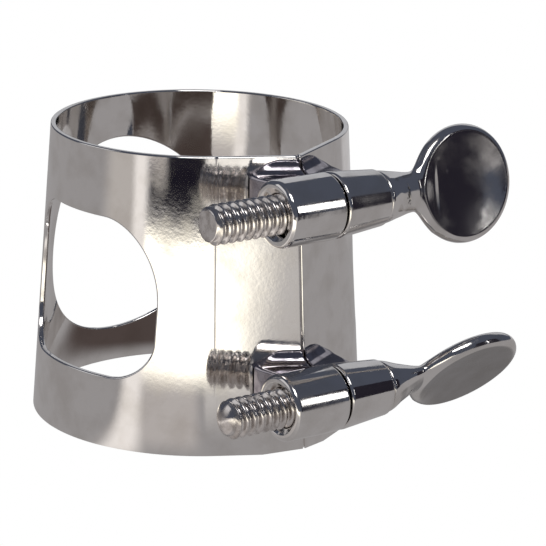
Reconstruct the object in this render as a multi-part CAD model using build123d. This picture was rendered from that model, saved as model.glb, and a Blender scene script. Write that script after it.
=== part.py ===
from build123d import *
import math
import os

# Saxophone ligature: a tapered sheet-metal band with a V-shaped front, split along the front
# edge and drawn together by two thumb screws. Millimetres. The band's axis is Z, its wide rim
# lies on Z = 0, the slit faces -Y and both screws run along X with their heads towards +X.

# ---- band -------------------------------------------------------------------------------
BAND_HEIGHT = 26.3
BASE_RADIUS = 14.9          # outside radius at the wide rim, Z = 0
TOP_RADIUS = 13.25          # outside radius at the narrow rim
SHEET = 0.5                 # thickness of the sheet
CREASE_ANGLE = 28.0         # from the slit to the crease where the round wall turns straight
SLIT_GAP = 0.24             # between the two free ends of the sheet
CORNER_RISE = 0.45          # how far the wide rim is clipped away at the slit
CORNER_LENGTH = 3.3         # how far along the rim that clip reaches

# ---- windows ----------------------------------------------------------------------------
SIDE_FRONT_Y = -9.25        # front edge of both side windows
SIDE_BACK_Y = 7.5           # back edge
SIDE_SILL_Z = 6.3           # lower edge
SIDE_HEAD_Z = 20.3          # upper edge
SIDE_LOW_CORNER = 3.5       # radius of the two lower corners
SIDE_TOP_CORNER_Y = 4.9     # the two upper corners are quarter ellipses
SIDE_TOP_CORNER_Z = 7.4
BACK_WINDOW_RADIUS = 9.4
BACK_WINDOW_Z = 12.75       # height of the round back window's centre

# ---- posts ------------------------------------------------------------------------------
UPPER_Z = 22.9              # height of the upper screw
LOWER_Z = 6.25              # height of the lower screw
POST_STANDOFF = 4.0         # from the band's front edge out to the screw axis
POST_RADIUS = 2.9
POST_GAP = 0.24             # between the two posts of a pair, over the slit
EDGE_CHAMFER = 0.22
THREADED_LENGTH = 5.7       # from the slit plane to the threaded post's outer end
END_CHAMFER = 0.45          # at that end
END_LAND = 0.17             # flat ring left round the countersink there
PLAIN_LENGTH = 5.0          # from the slit plane to the plain post's outer end
PLAIN_END_RADIUS = 2.45
PLAIN_MOUTH = 0.1

# ---- saddles ----------------------------------------------------------------------------
SADDLE_LENGTH = 3.95        # along X, from the slit plane
SADDLE_END_DRAFT = 0.5      # how far the outer end leans in towards the post
SADDLE_FOOT = 3.1           # half height where the saddle meets the band
SADDLE_END_FOOT = 2.0       # the same at its outer end
SADDLE_SHOULDER = 2.0       # along X, where the foot starts to narrow
SADDLE_WAIST = 1.95         # half height where the saddle meets the post
SADDLE_LAND = 0.3           # thickness of the foot's edge

# ---- screws -----------------------------------------------------------------------------
THREAD_RADIUS = 1.72        # over the crests
THREAD_DEPTH = 0.4
THREAD_PITCH = 0.8
RIDGE_CREST = 0.11          # width of the thread's ridge at its crest
RIDGE_GAP = 0.13            # bare root between two turns of the ridge
RIDGE_SINK = 0.06           # how deep the ridge is rooted in the core
BORE_CLEARANCE = 0.06       # radial, crest to bore
UPPER_TIP = 6.65            # how far the thread stands out of its post, tightened
LOWER_TIP = 5.85
TIP_CHAMFER = 0.35
UNTHREADED_RADIUS = 1.3
THREAD_START = 0.5          # from the slit plane to the end of the thread, inside the posts
SOCKET_DEPTH = 2.6          # how far the shank reaches into the head
SOCKET_CLEARANCE = 0.03     # radial, shank in the head's socket
HEAD_GAP = 0.1              # between the plain post's end and the head's shoulder

# ---- thumb heads ------------------------------------------------------------------------
SHOULDER_RADIUS = 2.3
NECK_LENGTH = 3.65          # shoulder to the narrowest place
NECK_WIDTH = 1.75           # half width there, across the disc
NECK_THICKNESS = 0.95       # half thickness there
TANG_LENGTH = 1.6           # how far the neck runs on inside the disc
TANG_THICKNESS = 0.3        # half thickness of its end
DISC_RADIUS = 5.2
DISC_REACH = 9.35           # shoulder to the disc's centre
RIM_THICKNESS = 1.5
RIM_BULGE = 0.4             # how far the disc's edge bulges out between its faces
WEB_THICKNESS = 0.8         # at the centre of the two dished faces
UPPER_LEAN = -10.0          # degrees the disc leans from upright, outward positive
LOWER_LEAN = 42.0

CREASE = math.radians(CREASE_ANGLE)
CUT_REACH = 30.0            # longer than anything that a cutting solid passes through


def wall_radius(z):
    """Outside radius of the band's round wall at height z."""
    return BASE_RADIUS + (TOP_RADIUS - BASE_RADIUS) * z / BAND_HEIGHT


def front_edge(z):
    """Distance from the axis to the outside corner of the V at height z."""
    return wall_radius(z) / math.cos(CREASE)


def screw_y(z):
    return -(front_edge(z) + POST_STANDOFF)


def band_outline(radius, z):
    """Round back closed by two straight panels that meet at the front edge."""
    crease_x, crease_y = radius * math.sin(CREASE), -radius * math.cos(CREASE)
    with BuildSketch(Plane.XY.offset(z)) as sketch:
        with BuildLine():
            ThreePointArc((crease_x, crease_y), (0, radius), (-crease_x, crease_y))
            Polyline((-crease_x, crease_y), (0, -radius / math.cos(CREASE)), (crease_x, crease_y))
        make_face()
    return sketch.sketch.face()


def band_solid(inset, overrun=0.0):
    """Tapered solid inside the band's outline, moved in by inset and longer by overrun."""
    low, high = -overrun, BAND_HEIGHT + overrun
    faces = [band_outline(wall_radius(z) - inset, z) for z in (low, high)]
    return Solid.make_loft([face.outer_wire() for face in faces], ruled=True)


def side_window():
    """Prism through both side walls, with round lower and long elliptical upper corners."""
    front, back = SIDE_FRONT_Y, SIDE_BACK_Y
    arch_z = SIDE_HEAD_Z - SIDE_TOP_CORNER_Z
    with BuildSketch(Plane.YZ) as sketch:
        with BuildLine():
            EllipticalCenterArc((front + SIDE_TOP_CORNER_Y, arch_z), SIDE_TOP_CORNER_Y,
                                SIDE_TOP_CORNER_Z, start_angle=90, arc_size=90)
            Line((front, arch_z), (front, SIDE_SILL_Z + SIDE_LOW_CORNER))
            RadiusArc((front, SIDE_SILL_Z + SIDE_LOW_CORNER),
                      (front + SIDE_LOW_CORNER, SIDE_SILL_Z), -SIDE_LOW_CORNER)
            Line((front + SIDE_LOW_CORNER, SIDE_SILL_Z), (back - SIDE_LOW_CORNER, SIDE_SILL_Z))
            RadiusArc((back - SIDE_LOW_CORNER, SIDE_SILL_Z),
                      (back, SIDE_SILL_Z + SIDE_LOW_CORNER), -SIDE_LOW_CORNER)
            Line((back, SIDE_SILL_Z + SIDE_LOW_CORNER), (back, arch_z))
            EllipticalCenterArc((back - SIDE_TOP_CORNER_Y, arch_z), SIDE_TOP_CORNER_Y,
                                SIDE_TOP_CORNER_Z, start_angle=0, arc_size=90)
            Line((back - SIDE_TOP_CORNER_Y, SIDE_HEAD_Z), (front + SIDE_TOP_CORNER_Y, SIDE_HEAD_Z))
        make_face()
    return extrude(sketch.sketch, amount=CUT_REACH, both=True)


def back_window():
    disc = Plane(origin=(0, 0, BACK_WINDOW_Z), z_dir=(0, 1, 0)) * Circle(BACK_WINDOW_RADIUS)
    return extrude(disc, amount=CUT_REACH)


def slit():
    """The gap between the sheet's ends, and the clip off the wide rim beside it."""
    gap = Pos(0, -CUT_REACH / 2, BAND_HEIGHT / 2) * Box(SLIT_GAP, CUT_REACH, BAND_HEIGHT * 2)
    clip = Plane(origin=(0, -BASE_RADIUS, 0), x_dir=(1, 0, 0), z_dir=(0, -1, 0)) * Polygon(
        (-CORNER_LENGTH, 0), (0, CORNER_RISE), (CORNER_LENGTH, 0),
        (CORNER_LENGTH, -1), (-CORNER_LENGTH, -1), align=None)
    return gap + extrude(clip, amount=BASE_RADIUS / 2, both=True)


def make_band():
    wall = band_solid(0) - band_solid(SHEET, overrun=1)
    return wall - side_window() - back_window() - slit()


def turned(points, z):
    """Solid of revolution about the screw axis at height z, from (x, radius) points."""
    profile = make_face(Polyline(*points, close=True))
    return Pos(0, screw_y(z), z) * revolve(profile, Axis.X)


def threaded_post_outline():
    """Outside of the post at -X that the screw threads into, from the slit outwards."""
    inner, outer = -POST_GAP / 2, -THREADED_LENGTH
    return [(inner, POST_RADIUS - EDGE_CHAMFER), (inner - EDGE_CHAMFER, POST_RADIUS),
            (outer + END_CHAMFER, POST_RADIUS), (outer, POST_RADIUS - END_CHAMFER)]


def plain_post_outline():
    """Outside of the post at +X that the screw passes through, from the slit outwards."""
    inner, outer = POST_GAP / 2, PLAIN_LENGTH
    return [(inner, POST_RADIUS - EDGE_CHAMFER), (inner + EDGE_CHAMFER, POST_RADIUS),
            (outer - EDGE_CHAMFER, PLAIN_END_RADIUS), (outer, PLAIN_END_RADIUS - EDGE_CHAMFER)]


def make_post(outline, bore, mouth, z):
    """Bored post with a countersink at its outer end."""
    inner, outer = outline[0][0], outline[-1][0]
    mouth_floor = outer - math.copysign(mouth, outer)
    return turned([(inner, bore), *outline, (outer, bore + mouth), (mouth_floor, bore)], z)


def make_saddle(z, side, outline):
    """Waisted block between a band panel and its post; side is -1 or 1 along X."""
    flare = SADDLE_FOOT - SADDLE_WAIST
    reach = POST_STANDOFF + SADDLE_LENGTH
    along = Vector(side * math.cos(CREASE), math.sin(CREASE), 0)
    outward = Vector(side * math.sin(CREASE), -math.cos(CREASE), 0)
    panel = Plane(origin=(0, -front_edge(z), z), x_dir=outward, z_dir=along)
    with BuildSketch(panel) as section:
        with BuildLine():
            for up in (-1, 1):
                edge, waist = up * SADDLE_FOOT, up * SADDLE_WAIST
                Line((-flare, edge), (SADDLE_LAND, edge))
                middle = flare * math.sqrt(0.5)
                ThreePointArc((SADDLE_LAND, edge),
                              (SADDLE_LAND + flare - middle, edge - up * middle),
                              (SADDLE_LAND + flare, waist))
                Line((SADDLE_LAND + flare, waist), (reach, waist))
            Line((-flare, -SADDLE_FOOT), (-flare, SADDLE_FOOT))
            Line((reach, -SADDLE_WAIST), (reach, SADDLE_WAIST))
        make_face()
    block = extrude(section.sketch, amount=reach, both=True)
    inner, outer = side * POST_GAP / 2, side * SADDLE_LENGTH
    front = Plane(origin=(0, 0, z), x_dir=(1, 0, 0), z_dir=(0, -1, 0)) * Polygon(
        (inner, -SADDLE_FOOT), (side * SADDLE_SHOULDER, -SADDLE_FOOT), (outer, -SADDLE_END_FOOT),
        (outer, SADDLE_END_FOOT), (side * SADDLE_SHOULDER, SADDLE_FOOT), (inner, SADDLE_FOOT),
        align=None)
    axis_y = screw_y(z)
    plan = Plane.XY.offset(z) * Polygon(
        (inner, 0), (inner, axis_y), (outer - side * SADDLE_END_DRAFT, axis_y), (outer, 0),
        align=None)
    saddle = block & extrude(front, CUT_REACH, both=True) & extrude(plan, SADDLE_FOOT, both=True)
    filled_post = turned([(outline[0][0], 0), *outline, (outline[-1][0], 0)], z)
    return saddle - band_solid(0, overrun=1) - filled_post


def thread_ridge(length):
    """Helical ridge about Z from 0 to length, a little sunk into the root."""
    root = THREAD_RADIUS - THREAD_DEPTH
    foot = THREAD_PITCH - RIDGE_GAP
    path = Helix(THREAD_PITCH, length, root)
    start = Plane(origin=path @ 0, x_dir=(1, 0, 0), z_dir=path % 0)
    profile = start * Polygon(
        (-RIDGE_SINK, -foot / 2), (-RIDGE_SINK, foot / 2),
        (THREAD_DEPTH, RIDGE_CREST / 2), (THREAD_DEPTH, -RIDGE_CREST / 2), align=None)
    return sweep(profile, path, is_frenet=True)


def make_shank(z, tip):
    """Screw shank: a thread from its tip to inside the posts, then a plain spindle."""
    first = -(THREADED_LENGTH + tip)
    length = -THREAD_START - first
    root = THREAD_RADIUS - THREAD_DEPTH
    upright = (Align.CENTER, Align.CENTER, Align.MIN)
    rod = Pos(0, 0, -THREAD_PITCH) * Cylinder(root, length + 2 * THREAD_PITCH, align=upright)
    ridge = Pos(0, 0, -THREAD_PITCH) * thread_ridge(length + 2 * THREAD_PITCH)
    wide = 2 * THREAD_RADIUS
    bevelled = make_face(Polyline(
        (0, 0), (THREAD_RADIUS - TIP_CHAMFER, 0), (wide, wide - THREAD_RADIUS + TIP_CHAMFER),
        (wide, length - wide + root), (root, length), (0, length), close=True))
    threaded = (rod + ridge) & revolve(Plane.XZ * bevelled, Axis.Z)
    end = PLAIN_LENGTH + SOCKET_DEPTH
    spindle = Cylinder(UNTHREADED_RADIUS, end + THREAD_START, align=upright)
    shank = threaded + Pos(0, 0, length) * spindle
    return Pos(first, screw_y(z), z) * Rot(0, 90, 0) * shank


def make_neck():
    """Solid along X from the round shoulder, through the flattening neck, to a tang."""
    tang_end = DISC_REACH - DISC_RADIUS + TANG_LENGTH
    stations = [                # along X, half width, half thickness
        (0, SHOULDER_RADIUS, SHOULDER_RADIUS),
        (NECK_LENGTH / 2, (SHOULDER_RADIUS + NECK_WIDTH) / 2, (SHOULDER_RADIUS + NECK_THICKNESS) / 2),
        (NECK_LENGTH, NECK_WIDTH, NECK_THICKNESS),
        (tang_end, NECK_WIDTH, TANG_THICKNESS)]
    with BuildPart() as neck:
        for x, width, thickness in stations:
            with BuildSketch(Plane(origin=(x, 0, 0), x_dir=(0, 1, 0), z_dir=(1, 0, 0))):
                Ellipse(thickness, width)
        loft()
    return neck.part


def make_disc():
    """Disc about Z, dished on both faces, with a bulging edge."""
    rim, web = RIM_THICKNESS / 2, WEB_THICKNESS / 2
    face = DISC_RADIUS - RIM_BULGE
    with BuildSketch(Plane.XZ) as half:
        with BuildLine():
            Line((0, -web), (0, web))
            TangentArc((0, web), (face, rim), tangent=(1, 0))
            ThreePointArc((face, rim), (DISC_RADIUS, 0), (face, -rim))
            TangentArc((0, -web), (face, -rim), tangent=(1, 0))
        make_face()
    return revolve(half.sketch, Axis.Z)


def make_head(z, lean):
    """Thumb head: round shoulder, flattened neck and a leaning, dished disc."""
    head = make_neck() + Pos(DISC_REACH, 0, 0) * Rot(90, 0, 0) * make_disc()
    socket = Rot(0, 90, 0) * Cylinder(UNTHREADED_RADIUS + SOCKET_CLEARANCE, 2 * SOCKET_DEPTH)
    turned_head = Rot(lean, 0, 0) * (head - socket)
    return Pos(PLAIN_LENGTH + HEAD_GAP, screw_y(z), z) * turned_head


def main():
    os.makedirs("parts", exist_ok=True)
    parts = {"band": make_band()}
    threaded_bore = THREAD_RADIUS + BORE_CLEARANCE
    plain_bore = THREAD_RADIUS + 2 * BORE_CLEARANCE
    threaded_mouth = POST_RADIUS - END_CHAMFER - END_LAND - threaded_bore
    screws = (("upper", UPPER_Z, UPPER_TIP, UPPER_LEAN), ("lower", LOWER_Z, LOWER_TIP, LOWER_LEAN))
    for level, z, tip, lean in screws:
        parts[f"{level}_threaded_post"] = make_post(
            threaded_post_outline(), threaded_bore, threaded_mouth, z)
        parts[f"{level}_plain_post"] = make_post(plain_post_outline(), plain_bore, PLAIN_MOUTH, z)
        parts[f"{level}_threaded_saddle"] = make_saddle(z, -1, threaded_post_outline())
        parts[f"{level}_plain_saddle"] = make_saddle(z, 1, plain_post_outline())
        parts[f"{level}_screw_shank"] = make_shank(z, tip)
        parts[f"{level}_thumb_head"] = make_head(z, lean)
    for name, shape in parts.items():
        export_step(shape, f"parts/{name}.step")


if __name__ == "__main__":
    main()
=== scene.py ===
"""Saxophone ligature: a nickel-plated band drawn together by two thumb screws.

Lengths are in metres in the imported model's frame. The band's axis is Z, its wide rim lies on
Z = 0, the slit faces -Y, and both screws run along X with their heads towards +X.
"""

import logging
import math
from collections.abc import Callable, Iterator, Sequence
from dataclasses import dataclass, field
from enum import Enum

import bpy
import numpy as np
from mathutils import Matrix, Vector
from mathutils.geometry import delaunay_2d_cdt


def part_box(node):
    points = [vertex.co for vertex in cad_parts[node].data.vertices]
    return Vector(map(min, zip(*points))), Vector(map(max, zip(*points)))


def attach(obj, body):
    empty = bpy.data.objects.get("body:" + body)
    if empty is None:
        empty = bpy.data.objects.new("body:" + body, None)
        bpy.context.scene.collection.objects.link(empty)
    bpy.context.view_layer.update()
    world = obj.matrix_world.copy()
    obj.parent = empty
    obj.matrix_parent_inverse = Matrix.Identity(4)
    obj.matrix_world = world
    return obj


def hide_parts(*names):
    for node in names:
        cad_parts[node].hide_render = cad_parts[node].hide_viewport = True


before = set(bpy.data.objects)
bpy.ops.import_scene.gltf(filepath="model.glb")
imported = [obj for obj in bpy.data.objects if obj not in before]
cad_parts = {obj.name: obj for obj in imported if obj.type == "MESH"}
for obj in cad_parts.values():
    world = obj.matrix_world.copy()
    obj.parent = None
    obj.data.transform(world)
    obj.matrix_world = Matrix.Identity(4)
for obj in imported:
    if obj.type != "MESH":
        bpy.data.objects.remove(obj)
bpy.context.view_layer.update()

MM = 0.001
SLIT = 0.24 * MM  # between the band's two edges, and between the posts
POST_RADIUS = 2.9 * MM
WELD = 1e-6  # metres between points of a seam that become one
LOG = logging.getLogger("ligature")
Field = Callable[[np.ndarray], np.ndarray]
Pair = tuple[float, float]
Triple = tuple[float, float, float]
Piece = bpy.types.Object
Material = bpy.types.Material
Tree = bpy.types.NodeTree
Socket = bpy.types.NodeSocket


# ---- nodes --------------------------------------------------------------------------------


class Recipe:
    """Short calls that add nodes to a tree."""

    def __init__(self, tree: Tree) -> None:
        """Takes the tree to add to."""
        self.tree = tree

    def add(self, kind: str, links: dict | None = None, **settings: object) -> bpy.types.Node:
        """Adds a node.

        Args:
            kind: its type.
            links: a socket or a constant for each named or numbered input.
            settings: the node's own properties.

        Returns:
            The node.
        """
        node = self.tree.nodes.new(kind)
        for key, value in settings.items():
            setattr(node, key, value)
        for key, value in (links or {}).items():
            if isinstance(value, Socket):
                self.tree.links.new(value, node.inputs[key])
            else:
                node.inputs[key].default_value = value
        return node

    def calc(self, operation: str, *values: object) -> Socket:
        """Adds a math node and gives its result."""
        return self.add("ShaderNodeMath", dict(enumerate(values)), operation=operation).outputs[0]

    def ramp(self, value: object, span: tuple[object, object], to: tuple[object, object] = (0, 1),
             smooth: bool = False) -> Socket:
        """Maps a span of a value onto another span, held at both ends.

        Args:
            value: the value.
            span: the two values between which it counts.
            to: what those two become.
            smooth: whether it leaves and reaches them gently.

        Returns:
            The mapped value.
        """
        return self.add("ShaderNodeMapRange", {
            "Value": value, "From Min": span[0], "From Max": span[1], "To Min": to[0],
            "To Max": to[1]}, interpolation_type="SMOOTHSTEP" if smooth else "LINEAR").outputs[0]

    def window(self, value: object, span: Pair, soft: float) -> Socket:
        """Gives 1 inside a span of a value and 0 outside it, with soft edges."""
        rise = self.ramp(value, (span[0] - soft / 2, span[0] + soft / 2), smooth=True)
        fall = self.ramp(value, (span[1] + soft / 2, span[1] - soft / 2), smooth=True)
        return self.calc("MULTIPLY", rise, fall)

    def blend(self, share: object, first: object, second: object) -> Socket:
        """Mixes two colours by a share."""
        return self.add("ShaderNodeMix", {0: share, 6: first, 7: second},
                        data_type="RGBA").outputs[2]

    def noise(self, place: object, width: float, detail: float) -> Socket:
        """Adds a noise pattern from 0 to 1.

        Args:
            place: the coordinates that it reads.
            width: size of the pattern's largest marks.
            detail: octaves of finer marks.

        Returns:
            The pattern's strength.
        """
        return self.add("ShaderNodeTexNoise", {
            "Scale": 1 / width, "Detail": detail, "Vector": place}).outputs["Fac"]

    def bump(self, height: object, depth: float, under: object = None) -> Socket:
        """Raises a pattern by a depth in metres, on top of another bump."""
        links = {"Distance": depth, "Height": height}
        if under is not None:
            links["Normal"] = under
        return self.add("ShaderNodeBump", links).outputs["Normal"]


def opaque(colour: Triple) -> tuple[float, float, float, float]:
    """Colour with full alpha."""
    return (*colour, 1)


# ---- finishes -----------------------------------------------------------------------------


class Slot(Enum):
    """The record's material slots."""

    BAND = "band_plate"
    POST = "post_plate"
    SADDLE = "saddle_plate"
    SCREW = "screw_plate"
    HEAD = "head_plate"


@dataclass(frozen=True)
class Plating:
    """Bright nickel plate over brass, with polishing haze, faint ripple and worn edges.

    Attributes:
        slot: the material slot it stands for.
        bright: colour where the plate is fresh.
        dull: colour where it has hazed over.
        sheen: roughness where the plate is fresh.
        haze: roughness where it has hazed over.
        patch: width of a hazed patch.
        patch_edge: strengths of the noise at which the haze starts and is full.
        wear_edge: pointiness at which an edge starts to wear and is worn.
        wear: roughness that wear adds.
        ripple: height of the slow ripple that polishing leaves.
        ripple_width: width of one ripple.
        grain: height of the fine grain.
        grain_width: width of the grain's largest marks.
        index: refractive index, which sets the metal's edge reflection.
    """

    slot: Slot
    bright: Triple = (0.80, 0.775, 0.755)
    dull: Triple = (0.70, 0.67, 0.64)
    sheen: float = 0.07
    haze: float = 0.2
    patch: float = 2.6 * MM
    patch_edge: Pair = (0.42, 0.68)
    wear_edge: Pair = (0.52, 0.60)
    wear: float = 0.08
    ripple: float = 0.02 * MM
    ripple_width: float = 5.0 * MM
    grain: float = 0.002 * MM
    grain_width: float = 0.35 * MM
    index: float = 1.8

    def build(self) -> Material:
        """Makes the material."""
        material = bpy.data.materials.new(self.slot.value)
        material.use_nodes = True
        recipe = Recipe(material.node_tree)
        place = recipe.add("ShaderNodeTexCoord").outputs["Object"]
        pointiness = recipe.add("ShaderNodeNewGeometry").outputs["Pointiness"]

        patches = recipe.ramp(recipe.noise(place, self.patch, 5), self.patch_edge)
        wear = recipe.ramp(pointiness, self.wear_edge, (0, self.wear))
        rough = recipe.calc("ADD", recipe.ramp(patches, (0, 1), (self.sheen, self.haze)), wear)
        ripple = recipe.bump(recipe.noise(place, self.ripple_width, 1), self.ripple)
        grain = recipe.bump(recipe.noise(place, self.grain_width, 3), self.grain, ripple)

        shader = recipe.tree.nodes["Principled BSDF"]
        shader.inputs["Metallic"].default_value = 1.0
        shader.inputs["IOR"].default_value = self.index
        colour = recipe.blend(patches, opaque(self.bright), opaque(self.dull))
        for name, value in (("Base Color", colour), ("Roughness", rough), ("Normal", grain)):
            recipe.tree.links.new(value, shader.inputs[name])
        return material


BAND_PLATE = Plating(Slot.BAND, sheen=0.05, haze=0.12, ripple=0.014 * MM, grain=0.0022 * MM)
POST_PLATE = Plating(Slot.POST, ripple=0.004 * MM, ripple_width=2 * MM)
# The saddles' colours are their nickel plate darkened by painted shade, standing in for the shade and
# dark reflections where they sit between band and posts.
SADDLE_PLATE_AND_SHADE = Plating(Slot.SADDLE, bright=(0.44, 0.41, 0.44), dull=(0.27, 0.245, 0.27),
                       ripple=0.03 * MM, ripple_width=1.5 * MM, haze=0.26, patch=1.4 * MM)
SCREW_PLATE = Plating(Slot.SCREW, bright=(0.74, 0.70, 0.675), dull=(0.45, 0.41, 0.385),
                      sheen=0.14, haze=0.34, patch=0.8 * MM, ripple=0.004 * MM)
HEAD_PLATE = Plating(Slot.HEAD, ripple=0.012 * MM, ripple_width=3 * MM)


# ---- meshes -------------------------------------------------------------------------------


def make_piece(name: str, points: np.ndarray, faces: Sequence[Sequence[int]],
               normals: np.ndarray | None = None) -> Piece:
    """Makes a smooth-shaded mesh object.

    Args:
        name: the piece's name.
        points: vertex places.
        faces: the vertices of each face, counter-clockwise from outside.
        normals: exact surface normals at the vertices, where they are known.

    Returns:
        The new object, linked to the scene.
    """
    mesh = bpy.data.meshes.new(name)
    mesh.from_pydata(np.asarray(points, float).tolist(), [], [list(map(int, f)) for f in faces])
    mesh.shade_smooth()
    if normals is not None:
        mesh.normals_split_custom_set_from_vertices(np.asarray(normals, float).tolist())
    piece = bpy.data.objects.new(name, mesh)
    bpy.context.scene.collection.objects.link(piece)
    return piece


def finish_piece(piece: Piece, plates: dict[Slot, Material], body: str, slot: Slot, node: str) -> None:
    """Dresses a piece and puts it in its CAD node's place.

    Args:
        piece: the piece.
        plates: the material of each slot.
        body: the body that it moves with.
        slot: the record's slot of its finish.
        node: the CAD node that it stands for.
    """
    if not piece.data.materials:
        piece.data.materials.append(plates[slot])
    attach(piece, body)
    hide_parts(node)
    LOG.info("%s: %d faces, rides %s", piece.name, len(piece.data.polygons), body)


def gradient(shape: Field, points: np.ndarray, step: float) -> np.ndarray:
    """Slope of a field at some points, by central differences."""
    out = np.empty_like(points)
    for axis in range(3):
        offset = np.zeros(3)
        offset[axis] = step
        out[:, axis] = (shape(points + offset) - shape(points - offset)) / (2 * step)
    return out


def contour(shape: Field, low: Sequence[float], high: Sequence[float], cell: float,
            rounds: int = 6, relax: float = 0.6, least_slope: float = 0.05
            ) -> tuple[np.ndarray, list[list[int]], np.ndarray]:
    """Closed quad mesh where a field is zero, drawn onto the exact surface.

    Args:
        shape: negative inside the solid, and about the distance to its surface nearby.
        low: lowest corner of the space searched.
        high: highest corner.
        cell: size of one quad.
        rounds: how many times the points are evened out and drawn back onto the surface.
        relax: share of the way to its neighbours' middle that a point moves in a round.
        least_slope: the flattest squared slope that the drawing back allows for.

    Returns:
        The points, the faces and the exact normals.
    """
    axes = [np.arange(low[i] - 2 * cell, high[i] + 3 * cell, cell) for i in range(3)]
    grid = np.stack(np.meshgrid(*axes, indexing="ij"), -1)
    inside = shape(grid.reshape(-1, 3)).reshape(grid.shape[:3]) < 0
    size = np.array(inside.shape) - 1
    count = np.zeros(size, int)
    for corner in np.ndindex(2, 2, 2):
        count += inside[tuple(slice(c, c + n) for c, n in zip(corner, size))]
    crossing = (count > 0) & (count < 8)
    index = np.full(size, -1)
    index[crossing] = np.arange(crossing.sum())
    points = np.stack([axes[i][where] + cell / 2 for i, where in enumerate(np.nonzero(crossing))], -1)

    faces = []
    for axis in range(3):
        turn = (axis, (axis + 1) % 3, (axis + 2) % 3)
        solid, cells = inside.transpose(turn), index.transpose(turn)
        enters, leaves = solid[:-1, 1:-1, 1:-1], solid[1:, 1:-1, 1:-1]
        ring = np.stack([cells[:, :-1, :-1], cells[:, 1:, :-1], cells[:, 1:, 1:],
                         cells[:, :-1, 1:]], -1)
        faces.append(ring[enters & ~leaves])
        faces.append(ring[leaves & ~enters][:, ::-1])
    faces = np.concatenate(faces)

    edges = np.concatenate([faces[:, [i, (i + 1) % 4]] for i in range(4)])
    step = cell / 50
    for _ in range(rounds):
        total = np.zeros_like(points)
        np.add.at(total, edges[:, 0], points[edges[:, 1]])
        shares = np.bincount(edges[:, 0], minlength=len(points))[:, None]
        points = points + relax * (total / shares - points)
        for _ in range(2):
            slope = gradient(shape, points, step)
            steep = np.maximum((slope ** 2).sum(1), least_slope)[:, None]
            points -= np.clip(shape(points)[:, None] * slope / steep, -cell, cell)
    normals = gradient(shape, points, step)
    normals /= np.linalg.norm(normals, axis=1)[:, None]
    return points, faces.tolist(), normals


def meet(a: np.ndarray, b: np.ndarray, round_off: float) -> np.ndarray:
    """Field of what two fields share, with the edge between them rounded."""
    share = np.clip(0.5 - 0.5 * (b - a) / round_off, 0, 1)
    return b + (a - b) * share + round_off * share * (1 - share)


def join(a: np.ndarray, b: np.ndarray, fillet: float) -> np.ndarray:
    """Field of two fields together, with a fillet between them."""
    return -meet(-a, -b, fillet)


def smooth_steps(x: np.ndarray, stops: np.ndarray, values: np.ndarray) -> np.ndarray:
    """Interpolates values between stops with no corner at them (monotone cubic)."""
    widths = np.diff(stops)
    slopes = np.diff(values) / widths
    before, after = slopes[:-1], slopes[1:]
    total = np.where(before + after == 0, 1, before + after)
    inner = np.where(before * after > 0, 2 * before * after / total, 0)
    tangents = np.concatenate([[0], inner, [slopes[-1]]])
    at = np.clip(x, stops[0], stops[-1])
    k = np.clip(np.searchsorted(stops, at) - 1, 0, len(widths) - 1)
    t = (at - stops[k]) / widths[k]
    return (values[k] * (1 + 2 * t) * (1 - t) ** 2 + widths[k] * tangents[k] * t * (1 - t) ** 2
            + values[k + 1] * t * t * (3 - 2 * t) + widths[k] * tangents[k + 1] * t * t * (t - 1))


# ---- geometry node trees ------------------------------------------------------------------


class GrowthRecipe(Recipe):
    """A geometry node tree under construction."""

    def __init__(self, name: str, takes: Sequence[tuple[str, str]]) -> None:
        """Starts a tree.

        Args:
            name: the tree's name.
            takes: name of each input, and the kind of its socket.
        """
        super().__init__(bpy.data.node_groups.new(name, "GeometryNodeTree"))
        sockets = self.tree.interface
        for label, kind in takes:
            sockets.new_socket(label, in_out="INPUT", socket_type="NodeSocket" + kind)
        sockets.new_socket("Geometry", in_out="OUTPUT", socket_type="NodeSocketGeometry")
        self.given = self.tree.nodes.new("NodeGroupInput").outputs

    def wrap(self, rows: object, columns: object) -> tuple[Socket, ...]:
        """Adds a grid to be wrapped round an axis.

        Args:
            rows: number of its points along the axis.
            columns: number of its points round the axis, with the seam's counted twice.

        Returns:
            The grid, each point's row, and its share of a full turn.
        """
        grid = self.add("GeometryNodeMeshGrid", {
            "Size X": 1.0, "Size Y": 1.0, "Vertices X": rows, "Vertices Y": columns})
        number = self.add("GeometryNodeInputIndex").outputs[0]
        row = self.calc("FLOOR", self.calc("DIVIDE", self.calc("ADD", number, 0.5), columns))
        column = self.calc("SUBTRACT", number, self.calc("MULTIPLY", row, columns))
        turn = self.calc("DIVIDE", column, self.calc("SUBTRACT", columns, 1.0))
        return grid.outputs[0], row, turn

    def close(self, grid: object, x: object, radius: object, turn: object) -> None:
        """Ends the tree: wraps the grid round its centre line and welds, smooths and dresses it.

        Args:
            grid: the grid.
            x: each point's distance along X.
            radius: each point's distance from the line.
            turn: each point's share of a full turn round it.
        """
        angle = self.calc("MULTIPLY", turn, math.tau)
        round_it = self.add("ShaderNodeCombineXYZ", {
            0: x, 1: self.calc("MULTIPLY", radius, self.calc("COSINE", angle)),
            2: self.calc("MULTIPLY", radius, self.calc("SINE", angle))})
        place = self.add("ShaderNodeVectorMath", {
            0: round_it.outputs[0], 1: self.given["Centre"]}, operation="ADD")
        last = self.add("GeometryNodeSetPosition", {
            "Geometry": grid, "Position": place.outputs[0]})
        for kind, links in (("GeometryNodeMergeByDistance", {"Distance": WELD}),
                            ("GeometryNodeSetShadeSmooth", {}),
                            ("GeometryNodeRealizeInstances", {}),
                            ("GeometryNodeSetMaterial", {"Material": self.given["Material"]}),
                            ("NodeGroupOutput", {})):
            last = self.add(kind, {"Geometry": last.outputs[0], **links})


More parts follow.
